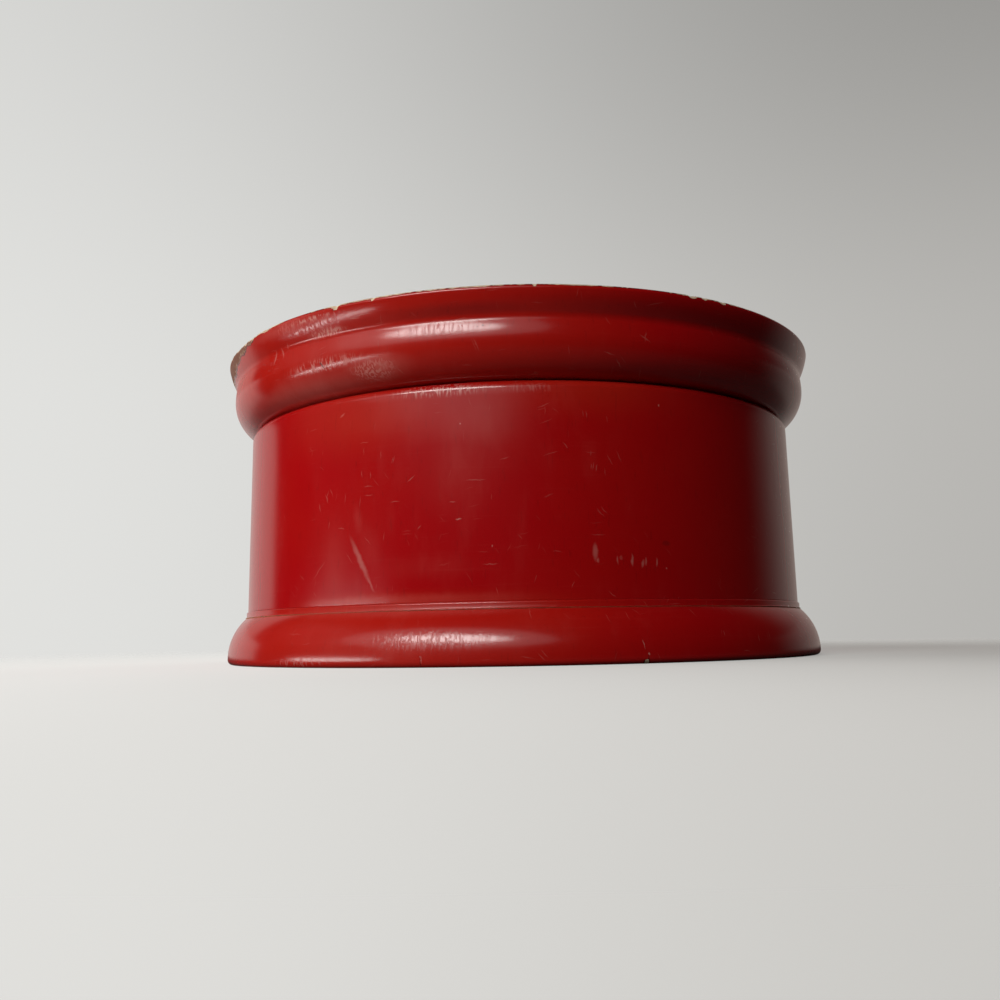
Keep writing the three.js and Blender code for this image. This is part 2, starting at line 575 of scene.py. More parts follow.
def make_unroll_group():
    group, given, out = new_group(
        "Round the box",
        [("Vector", VECTOR, None), ("Radius", FLOAT, 60.0), ("Top", FLOAT, 50.0)],
        [("Label", VECTOR), ("Side", FLOAT)],
    )
    axes = add(group, "ShaderNodeSeparateXYZ", {0: given["Vector"]}).outputs
    turn = calc(group, "ARCTAN2", axes["X"], calc(group, "MULTIPLY", axes["Y"], -1.0))
    around = calc(group, "MULTIPLY", turn, given["Radius"])
    height = calc(group, "MULTIPLY", axes["Z"], 1 / MM)
    flat = stretched(group, given["Vector"], (1 / MM, 1 / MM, 0))
    reach = add(group, "ShaderNodeVectorMath", {0: flat}, operation="LENGTH").outputs["Value"]
    label = add(group, "ShaderNodeCombineXYZ", {"X": around, "Y": height})
    below = calc(group, "SUBTRACT", given["Top"], height)
    inwards = calc(group, "SUBTRACT", given["Radius"], reach)
    outermost = ramp(group, inwards, *IN_FROM_SIDE, 1.0, 0.0)
    side = calc(group, "MAXIMUM", ramp(group, below, *BELOW_TOP), outermost)
    group.links.new(label.outputs[0], out.inputs["Label"])
    group.links.new(side, out.inputs["Side"])
    return group


def make_stroke_group():
    group, given, out = new_group(
        "Stroke",
        [("Label", VECTOR, None), ("Centre", VECTOR, None), ("Half size", VECTOR, None),
         ("Lean", VECTOR, None), ("Solid", FLOAT, 0.4), ("Strength", FLOAT, 1.0)],
        [("Mask", FLOAT)],
    )
    frame_of_mark = {
        "Vector": given["Label"], "Location": given["Centre"],
        "Rotation": given["Lean"], "Scale": given["Half size"],
    }
    local = add(group, "ShaderNodeMapping", frame_of_mark, vector_type="TEXTURE")
    away = add(group, "ShaderNodeVectorMath", {0: local.outputs[0]}, operation="LENGTH")
    mask = ramp(group, away.outputs["Value"], given["Solid"], 1.0, 1.0, 0.0)
    group.links.new(calc(group, "MULTIPLY", mask, given["Strength"]), out.inputs["Mask"])
    return group


def make_dash_group():
    group, given, out = new_group(
        "Dashes",
        [("Label", VECTOR, None), ("Lean", VECTOR, None), ("Cell", VECTOR, None)],
        [("Mask", FLOAT)],
    )
    cells = {"Vector": given["Label"], "Rotation": given["Lean"], "Scale": given["Cell"]}
    local = add(group, "ShaderNodeMapping", cells, vector_type="TEXTURE").outputs[0]
    spots = add(
        group, "ShaderNodeTexVoronoi", {"Vector": local, "Scale": 1.0}, voronoi_dimensions="2D",
    ).outputs
    near = ramp(group, spots["Distance"], *DASH_EDGE, 1.0, 0.0)
    chosen = add(group, "ShaderNodeSeparateColor", {0: spots["Color"]}).outputs["Red"]
    mask = calc(group, "MULTIPLY", near, ramp(group, chosen, *DASH_KEPT))
    group.links.new(mask, out.inputs["Mask"])
    return group


unroll_group = make_unroll_group()
stroke_group = make_stroke_group()
dash_group = make_dash_group()


def spot_on_side(radius):
    """Turns an azimuth and a height into a place on the label of that radius."""
    return lambda azimuth, height: (math.radians(azimuth) * radius, height, 0)


def spot_on_top(azimuth, reach):
    """Turns an azimuth and a distance from the axis into a place seen from above."""
    around = math.radians(azimuth)
    return (math.sin(around) * reach, -math.cos(around) * reach, 0)


def strokes(tree, label, spot, marks, solid):
    """One mask for many marks, each an azimuth, a height, a length, a width, a lean and a strength."""
    total = 0.0
    for azimuth, height, length, width, lean, strength in marks:
        mask = use(tree, stroke_group, {
            "Label": label,
            "Centre": spot(azimuth, height),
            "Half size": (width / 2, length / 2, 1),
            "Lean": (0, 0, math.radians(-lean)),
            "Solid": solid,
            "Strength": strength,
        })["Mask"]
        total = calc(tree, "MAXIMUM", total, mask)
    return total


# %% [markdown]
# The lacquer is a deep red film, warmer in patches. On the front, the warm patches lie where the
# window light falls, so there the warmer, lighter red is painted light. Years of handling left a
# pinkish veil on it in places, and the same veil is laid where the lacquer catches light, as a
# painted sheen and painted reflection. Fine lines run round it from polishing, and where it is
# crazed the grain breaks the highlights into upright ticks: crazing raises the roughness as well as
# the surface. Pale ticks are also laid where the highlights fall, as painted highlights. A dark
# tone laid on the lip and on the bead's right side is painted shade. A faint broad sheen from wax is
# a rough coat, whose strength varies from place to place. A clean mark takes the veil, the fine
# scratches and the wax away and leaves a deep, wet red. Bare wood shows where the edge is worn
# through, with a dark border of dirt. One recipe serves every lacquered piece: on the flat top the
# label is simply the surface seen from above.

# %% The red lacquer
NO_FLAT_TOP = 1000.0
DEEP_RED = (0.320, 0.0007, 0.0022, 1)
# WARM_AND_LIT_RED is also the lacquer's lit tone: where the warm marks lie on the front, it is painted
# light.
WARM_AND_LIT_RED = (0.350, 0.0085, 0.0042, 1)
# VEIL_AND_SHEEN_RED is handling haze, and also painted sheen and painted reflection where light falls.
VEIL_AND_SHEEN_RED = (0.46, 0.075, 0.062, 1)
# SCRATCH_AND_GLINT_PINK paints real scratches, and also the pale ticks of painted highlights.
SCRATCH_AND_GLINT_PINK = (0.62, 0.33, 0.28, 1)
# DIRT_AND_SHADE is real dirt in pores, cracks and worn borders, and also the painted shade on the lid.
DIRT_AND_SHADE = (0.035, 0.004, 0.004, 1)
CREAM_WOOD = (0.66, 0.50, 0.34, 1)
BROWN_WOOD = (0.17, 0.068, 0.042, 1)
POLISHED = 0.12
CLOUDED = 0.08
CRAZED_ROUGHER = 0.28
VEILED_ROUGHER = 0.15
SCRATCHED_ROUGHER = 0.4
BARE_ROUGHER = 0.5
WAX_ROUGHNESS = 0.42
CRAZING_DEPTH = 0.02 * MM
SHAKE_FINENESS = 900.0
SHAKE = 0.5
DRIFT_FINENESS = 55.0
DRIFT = 10.0
# Each set of fine scratches is a lean in degrees, and a length and a spacing in millimetres.
FINE_SCRATCHES = ((4, 7.0, 0.6), (-52, 6.0, 0.7), (83, 5.0, 0.6))


def start_material(name):
    material = bpy.data.materials.new(name)
    material.use_nodes = True
    tree = material.node_tree
    tree.nodes.clear()
    return material, tree, add(tree, "ShaderNodeTexCoord").outputs["Object"]


def trembling(tree, place, label):
    """Shakes the label by a fraction of a millimetre, so that marks get uneven edges."""
    finely = {"Vector": place, "Scale": SHAKE_FINENESS, "Detail": 2.0}
    shake = add(tree, "ShaderNodeTexNoise", finely)
    centred = add(
        tree, "ShaderNodeVectorMath", {0: shake.outputs["Color"], 1: (-0.5, -0.5, -0.5)},
        operation="ADD",
    )
    shaken = {0: centred.outputs[0], 1: (SHAKE, SHAKE, 0), 2: label}
    return add(tree, "ShaderNodeVectorMath", shaken, operation="MULTIPLY_ADD").outputs[0]


def grain_across(tree, place):
    """Object coordinates turned so that the grain runs across a board, along X."""
    quarter_turn = {"Vector": place, "Rotation": (0, math.radians(90), 0)}
    return add(tree, "ShaderNodeMapping", quarter_turn).outputs[0]


def fine_scratches(tree, place, label):
    """Short hairline scratches in three directions, which drift a little over the box."""
    broadly = {"Vector": place, "Scale": DRIFT_FINENESS, "Detail": 1.0}
    drift = add(tree, "ShaderNodeTexNoise", broadly)
    drifting = {0: drift.outputs["Color"], 1: (DRIFT, DRIFT, 0), 2: label}
    drifted = add(tree, "ShaderNodeVectorMath", drifting, operation="MULTIPLY_ADD").outputs[0]
    total = 0.0
    for lean, length, spacing in FINE_SCRATCHES:
        mask = use(tree, dash_group, {
            "Label": drifted, "Lean": (0, 0, math.radians(lean)), "Cell": (length, spacing, 1),
        })["Mask"]
        total = calc(tree, "MAXIMUM", total, mask)
    return total


def lacquer_label(tree, place, radius, top):
    """The label, the mask of the side, the way to find a mark's spot, and the grain's coordinates."""
    if radius:
        unrolled = use(tree, unroll_group, {"Vector": place, "Radius": radius, "Top": top})
        return unrolled["Label"], unrolled["Side"], spot_on_side(radius), place
    from_above = stretched(tree, place, (1 / MM, 1 / MM, 0))
    return from_above, 1.0, spot_on_top, grain_across(tree, place)


def worn_through(tree, place, streaks, rubbed, colour):
    """Bare wood where the edge is worn or rubbed, and how bare it is: cream at a fresh edge,
    brown where hands have stained it, with a border of dirt."""
    attribute = add(tree, "ShaderNodeAttribute", attribute_name="bare").outputs["Fac"]
    crumbs = noise_at(tree, place, 2600.0, 2.0)
    ragged = calc(tree, "MULTIPLY_ADD", crumbs, 0.5, calc(tree, "MAXIMUM", attribute, rubbed))
    border = calc(tree, "MULTIPLY", ramp(tree, ragged, 0.45, 0.62), 0.8)
    bare = ramp(tree, ragged, 0.7, 0.82)
    away_from_edge = calc(tree, "MULTIPLY_ADD", attribute, -0.85, 1.0)
    streaky = ramp(tree, streaks, 0.35, 0.6, 0.9, 1.9)
    browned = calc(tree, "MULTIPLY", away_from_edge, streaky)
    browned = calc(tree, "MULTIPLY", rubbed, browned, clamp=True)
    patchy = ramp(tree, noise_at(tree, place, 700.0, 3.0, 0.6), 0.4, 0.62)
    browned = calc(tree, "MAXIMUM", browned, calc(tree, "MULTIPLY", patchy, 0.4))
    colour = blend(tree, border, colour, DIRT_AND_SHADE)
    return blend(tree, bare, colour, blend(tree, browned, CREAM_WOOD, BROWN_WOOD)), bare


def lacquer_material(name, marks, radius=None, top=NO_FLAT_TOP, worn_edge=False):
    """Red lacquer, with its marks on a label of the given radius, or on the flat without one."""
    material, tree, place = start_material(name)
    unshaken, side, spot, along_grain = lacquer_label(tree, place, radius, top)
    label = trembling(tree, place, unshaken)

    def laid(kind, solid):
        if kind not in marks:
            return 0.0
        return calc(tree, "MULTIPLY", strokes(tree, label, spot, marks[kind], solid), side)

    grain = use(tree, grain_group, {"Vector": along_grain})
    clouds = noise_at(tree, place, 26.0, 4.0, 0.55)
    smears = noise_at(tree, stretched(tree, place, (1, 1, 0.3)), 240.0, 3.0, 0.6)
    lines = noise_at(tree, stretched(tree, place, (60, 60, 2200)), 1.0, 3.0, 0.6)
    unclean = calc(tree, "SUBTRACT", 1.0, laid("clean", 0.5))
    cracked = laid("cracks", 0.5)
    ticks = calc(tree, "MULTIPLY", grain["Ticks"], laid("crazed", 0.0))
    # Painted highlights: pale grain ticks laid where the highlights fall.
    painted_glints = calc(tree, "MULTIPLY", grain["Ticks"], laid("painted_glints", 0.0))
    dashes = fine_scratches(tree, place, label)
    dashed = calc(tree, "MULTIPLY", dashes, ramp(tree, clouds, 0.36, 0.62, 0.03, 0.12))
    dashed = calc(tree, "MULTIPLY", dashed, unclean)
    # Real scuffs and dashes, together with the painted highlight ticks.
    scuffs_and_glints = calc(tree, "MAXIMUM", laid("scuffs", 0.2), calc(tree, "MAXIMUM", painted_glints, dashed))
    # The veil is partly handling haze and partly painted sheen and painted reflection where the light
    # falls.
    veil_and_sheen = calc(tree, "MULTIPLY", laid("veils_and_sheen", 0.0), calc(tree, "MULTIPLY_ADD", smears, 1.2, 0.4))
    veil_and_sheen = calc(tree, "MULTIPLY_ADD", ramp(tree, smears, 0.50, 0.80), 0.05, veil_and_sheen)
    veil_and_sheen = calc(tree, "MULTIPLY_ADD", ramp(tree, lines, 0.56, 0.78), 0.03, veil_and_sheen, clamp=True)
    veil_and_sheen = calc(tree, "MULTIPLY", veil_and_sheen, unclean)

    # Warmth comes from random clouds and from the warm marks. On the front the marks are painted
    # light, lighter and warmer where the window falls.
    cloudy = calc(tree, "MULTIPLY", ramp(tree, clouds, 0.40, 0.66), 0.25)
    warmth_and_light = calc(tree, "ADD", cloudy, laid("warm_and_lit", 0.0), clamp=True)
    colour = blend(tree, warmth_and_light, DEEP_RED, WARM_AND_LIT_RED)
    colour = blend(tree, calc(tree, "MULTIPLY", grain["Pores"], 0.16), colour, DIRT_AND_SHADE)
    # Painted shade: a dark tone laid on the down-facing lip and on the bead's right side.
    colour = blend(tree, laid("painted_shade", 0.0), colour, DIRT_AND_SHADE)
    colour = blend(tree, veil_and_sheen, colour, VEIL_AND_SHEEN_RED)
    colour = blend(tree, scuffs_and_glints, colour, SCRATCH_AND_GLINT_PINK)
    colour = blend(tree, cracked, colour, DIRT_AND_SHADE)

    roughness = calc(tree, "MULTIPLY_ADD", clouds, CLOUDED, POLISHED)
    roughness = calc(tree, "MULTIPLY_ADD", ticks, CRAZED_ROUGHER, roughness)
    roughness = calc(tree, "MULTIPLY_ADD", veil_and_sheen, VEILED_ROUGHER, roughness)
    roughness = calc(tree, "MULTIPLY_ADD", scuffs_and_glints, SCRATCHED_ROUGHER, roughness)
    wax = calc(tree, "MULTIPLY", calc(tree, "MULTIPLY_ADD", smears, 0.05, 0.01), unclean)
    if worn_edge:
        colour, bare = worn_through(tree, place, grain["Streaks"], laid("bare", 0.3), colour)
        roughness = calc(tree, "MULTIPLY_ADD", bare, BARE_ROUGHER, roughness)
        wax = calc(tree, "MULTIPLY", wax, calc(tree, "SUBTRACT", 1.0, bare))
    relief = {"Height": calc(tree, "SUBTRACT", ticks, cracked), "Distance": CRAZING_DEPTH}
    bump = add(tree, "ShaderNodeBump", {**relief, "Strength": 1.0})
    shader = add(tree, "ShaderNodeBsdfPrincipled", {
        "Base Color": colour, "Roughness": roughness, "Normal": bump.outputs[0],
        "Coat Weight": wax, "Coat Roughness": WAX_ROUGHNESS,
    })
    add(tree, "ShaderNodeOutputMaterial", {"Surface": shader.outputs[0]})
    return material


# %% [markdown]
# Each piece has its own marks. Scratches, cracks, crazing and worn spots sit at their places on the
# real box. The front ones among the veils, warm patches, glints and shade paint light and shade
# where it falls. A mark is an azimuth in degrees, a height, a length and a width in millimetres, how
# many degrees it leans to the right, and a strength. A wooden box has marks all round, so the sides
# that face away have some too. Small ones that overlap give a worn patch a natural outline.

# %% Marks on the wall
WALL_SCUFFS = (
    (-32.2, 45.7, 1.9, 0.5, 60, 0.22),
    (-28.0, 18.8, 12.0, 1.5, -28, 0.17),
    (-26.0, 14.8, 5.0, 0.7, -28, 0.13),
    (-10.0, 25.1, 1.4, 0.4, 90, 0.3),
    (-7.2, 31.8, 4.6, 0.25, 90, 0.12),
    (-11.0, 28.1, 1.6, 0.3, 90, 0.14),
    (-4.8, 17.2, 3.4, 0.3, 90, 0.12),
    (-21.2, 28.8, 2.6, 0.25, 90, 0.12),
    (-18.2, 32.7, 2.4, 0.3, 48, 0.14),
    (-9.5, 41.9, 0.5, 0.4, 0, 0.35),
    (-4.5, 20.3, 0.6, 0.4, 0, 0.22),
    (24.8, 45.5, 0.55, 0.5, 0, 0.3),
    (12.0, 36.2, 1.2, 0.3, 0, 0.1),
    (12.0, 33.9, 1.3, 0.3, 0, 0.1),
    (12.2, 19.0, 4.0, 1.2, 0, 0.20),
    (12.6, 17.6, 1.2, 0.7, 0, 0.20),
    (15.9, 17.6, 2.0, 0.5, 0, 0.16),
    (16.6, 18.0, 1.3, 1.0, 0, 0.10),
    (18.5, 17.6, 2.9, 0.6, 0, 0.22),
    (20.4, 17.0, 1.9, 0.8, 12, 0.20),
    (21.0, 17.4, 2.0, 0.6, 0, 0.17),
    (23.0, 17.2, 2.0, 0.6, 0, 0.19),
    (24.8, 16.2, 0.5, 0.5, 0, 0.20),
    (-37.5, 17.4, 6.0, 0.3, 44, 0.08),
    (-16.8, 24.0, 1.4, 0.3, 40, 0.1),
    (71.0, 30.0, 9.0, 0.7, 20, 0.12),
    (118.0, 22.0, 14.0, 0.5, -35, 0.14),
    (151.0, 36.0, 6.0, 0.9, 65, 0.12),
    (-96.0, 27.0, 10.0, 0.6, 15, 0.12),
    (-139.0, 19.0, 8.0, 1.0, -50, 0.13),
)
WALL_CRACKS = (
    (25.0, 20.6, 1.2, 2.0, 0, 0.3),
    (-59.3, 15.4, 8.0, 0.5, 0, 0.3),
    (96.0, 14.5, 5.0, 0.12, 0, 0.7),
)
# Partly handling haze, partly painted sheen on the lit upper wall, and a painted glow just above the
# foot.
WALL_VEILS_AND_SHEEN = (
    (-22.0, 44.5, 12.0, 30.0, 0, 0.09),
    (-8.0, 42.0, 12.0, 30.0, 0, 0.14),
    (-10.5, 33.0, 22.0, 17.0, 0, 0.07),
    (-34.0, 19.0, 22.0, 9.0, 0, 0.10),
    (-28.5, 26.0, 8.0, 3.0, -10, 0.14),
    (-26.0, 21.0, 14.0, 6.0, -20, 0.08),
    (-16.0, 17.0, 6.0, 30.0, 0, 0.05),
    (-20.0, 11.5, 3.0, 60.0, 0, 0.24),
)
# Warm, lighter patches: the front ones lie where the window light falls and are painted light.
WALL_WARM_AND_LIT = (
    (-30.0, 46.0, 22.0, 56.0, 0, 1.0),
    (10.0, 49.0, 18.0, 70.0, 0, 0.9),
    (-18.0, 11.0, 6.0, 80.0, 0, 0.9),
    (150.0, 40.0, 30.0, 60.0, 0, 0.8),
)
WALL_CRAZED = (
    (-16.0, 49.2, 2.2, 50.0, 0, 0.4),
)
WALL_CLEAN = (
    (-44.0, 31.0, 36.0, 13.0, 0, 1.0),
    (34.0, 32.0, 50.0, 48.0, 0, 0.85),
    (17.0, 17.5, 11.0, 30.0, 0, 0.9),
)
# Painted highlight: pale ticks under the wall's top edge, where its highlight falls.
WALL_PAINTED_GLINTS = (
    (-13.0, 48.1, 3.2, 24.0, 0, 0.42),
    (2.0, 47.9, 2.4, 14.0, 0, 0.12),
)

wall_marks = {
    "scuffs": WALL_SCUFFS, "cracks": WALL_CRACKS, "veils_and_sheen": WALL_VEILS_AND_SHEEN, "warm_and_lit": WALL_WARM_AND_LIT,
    "crazed": WALL_CRAZED, "painted_glints": WALL_PAINTED_GLINTS, "clean": WALL_CLEAN,
}
wall_lacquer = lacquer_material("Red lacquer, wall", wall_marks, wall_radius / MM, wall_top / MM)

# %% Marks on the foot
FOOT_SCUFFS = (
    (-15.0, 1.3, 1.6, 0.2, 0, 0.3),
    (18.3, 3.2, 2.2, 0.22, -8, 0.3),
    (19.0, 1.6, 0.6, 0.4, 0, 0.5),
    (33.2, 4.8, 1.4, 0.2, 0, 0.15),
    (-40.0, 6.0, 0.4, 5.0, 0, 0.06),
)
FOOT_CRACKS = (
    (-15.2, 1.0, 2.6, 0.14, 0, 0.7),
    (18.9, 0.9, 1.4, 0.16, 0, 0.8),
    (58.0, 3.0, 4.0, 0.14, 6, 0.7),
    (-120.0, 2.4, 3.4, 0.16, -4, 0.7),
)
# Painted sheen and painted reflection along the top fillet, round the highlight and towards the left
# outline.
FOOT_VEILS_AND_SHEEN = (
    (-22.0, 9.8, 4.0, 70.0, 0, 0.30),
    (-20.0, 3.0, 7.0, 60.0, 0, 0.16),
    (-62.0, 5.0, 14.0, 40.0, 0, 0.16),
)
# Warm patches: the front one lies where the window light falls and is painted light.
FOOT_WARM_AND_LIT = (
    (-30.0, 5.0, 60.0, 160.0, 0, 1.0),
    (170.0, 5.0, 60.0, 160.0, 0, 1.0),
)
FOOT_CRAZED = (
    (-15.0, 4.4, 6.0, 38.0, 0, 0.75),
    (-38.0, 0.9, 2.0, 26.0, 0, 0.9),
)
# Painted highlights: pale ticks in the side's highlight and in the bottom edge's highlight.
FOOT_PAINTED_GLINTS = (
    (-14.0, 4.6, 2.0, 24.0, 0, 0.16),
    (-38.5, 0.8, 1.0, 18.0, 0, 0.22),
)
FOOT_BARE = (
    (128.0, 1.2, 1.4, 5.0, 0, 0.7),
)

foot_marks = {
    "scuffs": FOOT_SCUFFS, "cracks": FOOT_CRACKS, "veils_and_sheen": FOOT_VEILS_AND_SHEEN, "warm_and_lit": FOOT_WARM_AND_LIT,
    "crazed": FOOT_CRAZED, "painted_glints": FOOT_PAINTED_GLINTS, "bare": FOOT_BARE,
}
foot_lacquer = lacquer_material("Red lacquer, foot", foot_marks, foot_radius / MM, worn_edge=True)

# %% Marks on the lid
LID_SCUFFS = (
    (-24.8, 62.2, 5.6, 0.25, 90, 0.2),
    (-26.4, 61.9, 3.0, 0.3, 90, 0.2),
    (-46.5, 59.0, 3.6, 0.7, 14, 0.22),
    (-44.2, 59.4, 3.0, 0.6, -20, 0.2),
    (-42.6, 60.2, 1.6, 0.4, 20, 0.2),
    (-22.0, 53.0, 1.2, 2.4, 0, 0.06),
    (88.0, 58.0, 5.0, 0.4, 70, 0.15),
    (140.0, 55.0, 3.0, 0.6, 30, 0.15),
)
LID_CRACKS = (
    (-33.9, 54.8, 2.0, 0.35, -36, 0.75),
    (-5.0, 58.2, 0.5, 0.4, 0, 0.6),
    (-5.8, 58.0, 0.3, 0.3, 0, 0.6),
    (171.0, 56.0, 4.0, 0.2, 10, 0.6),
)
# Painted sheen and painted reflection on the lid's lit left and its underside; in the cove, a painted
# highlight.
LID_VEILS_AND_SHEEN = (
    (-63.0, 57.5, 22.0, 40.0, 0, 0.45),
    (-42.0, 63.6, 4.0, 34.0, 0, 0.55),
    (-39.0, 51.0, 8.0, 52.0, 0, 0.60),
    (-30.0, 57.5, 12.0, 44.0, 0, 0.16),
    (-23.5, 52.8, 6.4, 20.0, 0, 0.75),
    (-32.5, 60.6, 2.4, 13.0, 0, 0.80),
)
LID_CLEAN = (
    (-51.6, 55.7, 8.0, 12.5, 12, 0.97),
)
LID_CRAZED = (
    (-12.0, 58.4, 4.0, 26.0, 0, 0.6),
    (-34.0, 54.8, 4.0, 24.0, 0, 0.5),
    (-36.0, 62.6, 5.0, 28.0, 0, 0.9),
    (95.0, 56.0, 10.0, 40.0, 0, 0.5),
)
# Painted highlights: pale ticks on the lower bead, the lip and the cove, where the low strip's
# highlights fall.
LID_PAINTED_GLINTS = (
    (-33.5, 54.9, 3.4, 26.0, 0, 0.38),
    (-24.2, 52.6, 4.8, 13.0, 0, 0.36),
    (-35.5, 63.5, 1.1, 20.0, 0, 0.50),
    (-32.5, 60.6, 2.0, 12.0, 0, 0.60),
)
# Warm patches: the front one lies where the window light falls and is painted light.
LID_WARM_AND_LIT = (
    (-35.0, 56.0, 80.0, 170.0, 0, 1.0),
    (165.0, 56.0, 80.0, 160.0, 0, 1.0),
)
# Painted shade: a darker tone on the down-facing lip and on the bead's right side.
LID_PAINTED_SHADE = (
    (28.0, 61.6, 6.0, 100.0, 0, 0.40),
    (-8.0, 61.2, 3.4, 50.0, 0, 0.30),
    (45.0, 56.0, 16.0, 50.0, 0, 0.20),
)
LID_BARE = (
    (-54.5, 64.7, 3.4, 7.0, 0, 1.0),
    (-58.5, 64.6, 5.4, 9.0, 0, 1.0),
    (-60.6, 64.6, 5.6, 7.0, 0, 1.0),
    (-63.0, 64.4, 6.8, 11.0, 0, 1.0),
    (-66.0, 64.2, 7.4, 9.0, 0, 1.0),
    (-68.5, 64.0, 8.4, 13.0, 0, 1.0),
    (-72.2, 63.8, 7.8, 11.0, 0, 1.0),
    (-75.5, 63.6, 8.2, 13.0, 0, 1.0),
    (-81.0, 64.2, 5.0, 9.0, 0, 1.0),
    (-104.5, 64.6, 2.6, 4.0, 0, 0.9),
    (-106.0, 64.2, 3.0, 6.0, 0, 0.8),
)

lid_marks = {
    "scuffs": LID_SCUFFS, "cracks": LID_CRACKS, "veils_and_sheen": LID_VEILS_AND_SHEEN, "warm_and_lit": LID_WARM_AND_LIT,
    "crazed": LID_CRAZED, "clean": LID_CLEAN, "painted_glints": LID_PAINTED_GLINTS, "painted_shade": LID_PAINTED_SHADE,
    "bare": LID_BARE,
}
lid_lacquer = lacquer_material(
    "Red lacquer, lid", lid_marks, lip_crest / MM, lid_top / MM, worn_edge=True,
)

# %% Marks on the top, where a distance from the axis takes the place of a height
TOP_SCUFFS = (
    (20.0, 30.0, 18.0, 0.3, 35, 0.12),
    (-70.0, 42.0, 9.0, 0.5, -20, 0.14),
    (150.0, 25.0, 24.0, 0.25, 70, 0.10),
    (100.0, 48.0, 5.0, 0.8, 0, 0.12),
    (-140.0, 38.0, 7.0, 0.3, 50, 0.14),
)
TOP_CRACKS = (
    (171.0, 44.0, 9.0, 0.18, 82, 0.5),
)
TOP_VEILS = (
    (-50.0, 30.0, 50.0, 40.0, 20, 0.14),
    (120.0, 34.0, 30.0, 44.0, -30, 0.12),
)
TOP_WARM = (
    (-60.0, 35.0, 90.0, 60.0, 0, 0.9),
    (130.0, 20.0, 60.0, 80.0, 0, 0.7),
)

top_marks = {"scuffs": TOP_SCUFFS, "cracks": TOP_CRACKS, "veils_and_sheen": TOP_VEILS, "warm_and_lit": TOP_WARM}
top_lacquer = lacquer_material("Red lacquer, top", top_marks)

# %% [markdown]
# Inside, the wood was given one thin dark coat, and it has rubbed brown in patches, most of all
# near the top of the collar, which the lid slides over. The base board was left bare, and has
# stained unevenly with age. Both are wood first, so they share one material with two colours for
# the streaks of the grain and a third for the patches.

# %% The dark inside and the bare base
RUBBED_BELOW_TOP = 3.0 * MM
GRAIN_DEPTH = 0.2 * MM


def plain_wood_material(name, light, dark, patch, patch_share, smoothest):
    """Wood in two tones, with patches of a third that are rougher than the smoothest part."""
    material, tree, place = start_material(name)
    grain = use(tree, grain_group, {"Vector": grain_across(tree, place), "Fineness": 900.0})
    colour = blend(tree, grain["Streaks"], light, dark)
    height = add(tree, "ShaderNodeSeparateXYZ", {0: place}).outputs["Z"]
    near_rim = ramp(tree, height, collar_top - RUBBED_BELOW_TOP, collar_top, 0.0, 0.30)
    stains = noise_at(tree, stretched(tree, place, (1, 1, 0.5)), 150.0, 4.0, 0.65)
    patchy = ramp(tree, calc(tree, "ADD", stains, near_rim), 0.50, 0.74, 0.0, patch_share)
    colour = blend(tree, patchy, colour, patch)
    roughness = calc(tree, "MULTIPLY_ADD", patchy, 0.25, smoothest)
    relief = {"Height": grain["Streaks"], "Strength": 0.3, "Distance": GRAIN_DEPTH}
    bump = add(tree, "ShaderNodeBump", relief)
    finish = {"Base Color": colour, "Roughness": roughness, "Normal": bump.outputs[0]}
    shader = add(tree, "ShaderNodeBsdfPrincipled", finish)
    add(tree, "ShaderNodeOutputMaterial", {"Surface": shader.outputs[0]})
    return material


INNER_LIGHT = (0.020, 0.012, 0.010, 1)
INNER_DARK = (0.007, 0.005, 0.004, 1)
RUBBED_BROWN = (0.085, 0.038, 0.022, 1)
BASE_LIGHT = (0.42, 0.26, 0.13, 1)
BASE_DARK = (0.25, 0.14, 0.07, 1)
AGE_STAIN = (0.13, 0.075, 0.045, 1)
inner_lacquer = plain_wood_material(
    "Dark inner lacquer", INNER_LIGHT, INNER_DARK, RUBBED_BROWN, 0.75, 0.35,
)
base_wood = plain_wood_material("Bare base wood", BASE_LIGHT, BASE_DARK, AGE_STAIN, 0.5, 0.70)

for piece, material in (
    (foot, foot_lacquer), (wall, wall_lacquer), (board, base_wood),
    (collar, inner_lacquer), (moulding, lid_lacquer), (panel, top_lacquer),
):
    piece.data.materials.append(material)


def finish_inside(piece, material, reach_limit, undersides=False):
    """Gives a second finish to the faces nearer the axis than a limit, or to those facing down."""
    piece.data.materials.append(material)
    changed = 0
    for face in piece.data.polygons:
        within = math.hypot(face.center.x, face.center.y) < reach_limit
        if within or (undersides and face.normal.z < -0.9):
            face.material_index = 1
            changed += 1
    print(f"{piece.name}: {changed} faces finished as {material.name}")


finish_inside(wall, inner_lacquer, collar_radius + 2 * GLUE_GAP)
finish_inside(moulding, inner_lacquer, LID_INSIDE + GLUE_GAP)
finish_inside(panel, inner_lacquer, 0, undersides=True)
finish_inside(foot, base_wood, FOOT_INSIDE + GLUE_GAP, undersides=True)

# %% [markdown]
# The floor is a plain pale disc that fades out early, so that no horizon shows. Seen directly it is
# partly paint, which keeps the box's shadow, and partly a pale glow, brighter on the left, whose
# darker right side is painted shade. It throws less light back up at the box than it shows, because
# the box stands in a room that is dark in front, and what the lid's underside mirrors there is
# darker still.

# %% The floor
FLOOR_RADIUS = 2.0
FLOOR_PALE = (0.83, 0.82, 0.79, 1)
FLOOR_MIRRORED = (0.06, 0.058, 0.055, 1)
FLOOR_GLOW_LEFT = (0.83, 0.83, 0.81, 1)
# Painted shade: the glow darkens towards the right.
FLOOR_GLOW_PAINTED_SHADE = (0.32, 0.31, 0.295, 1)
FLOOR_GLOW_SHARE = 0.65
BOUNCE_LEFT = (0.55, 0.53, 0.50, 1)
BOUNCE_RIGHT = (0.10, 0.097, 0.09, 1)
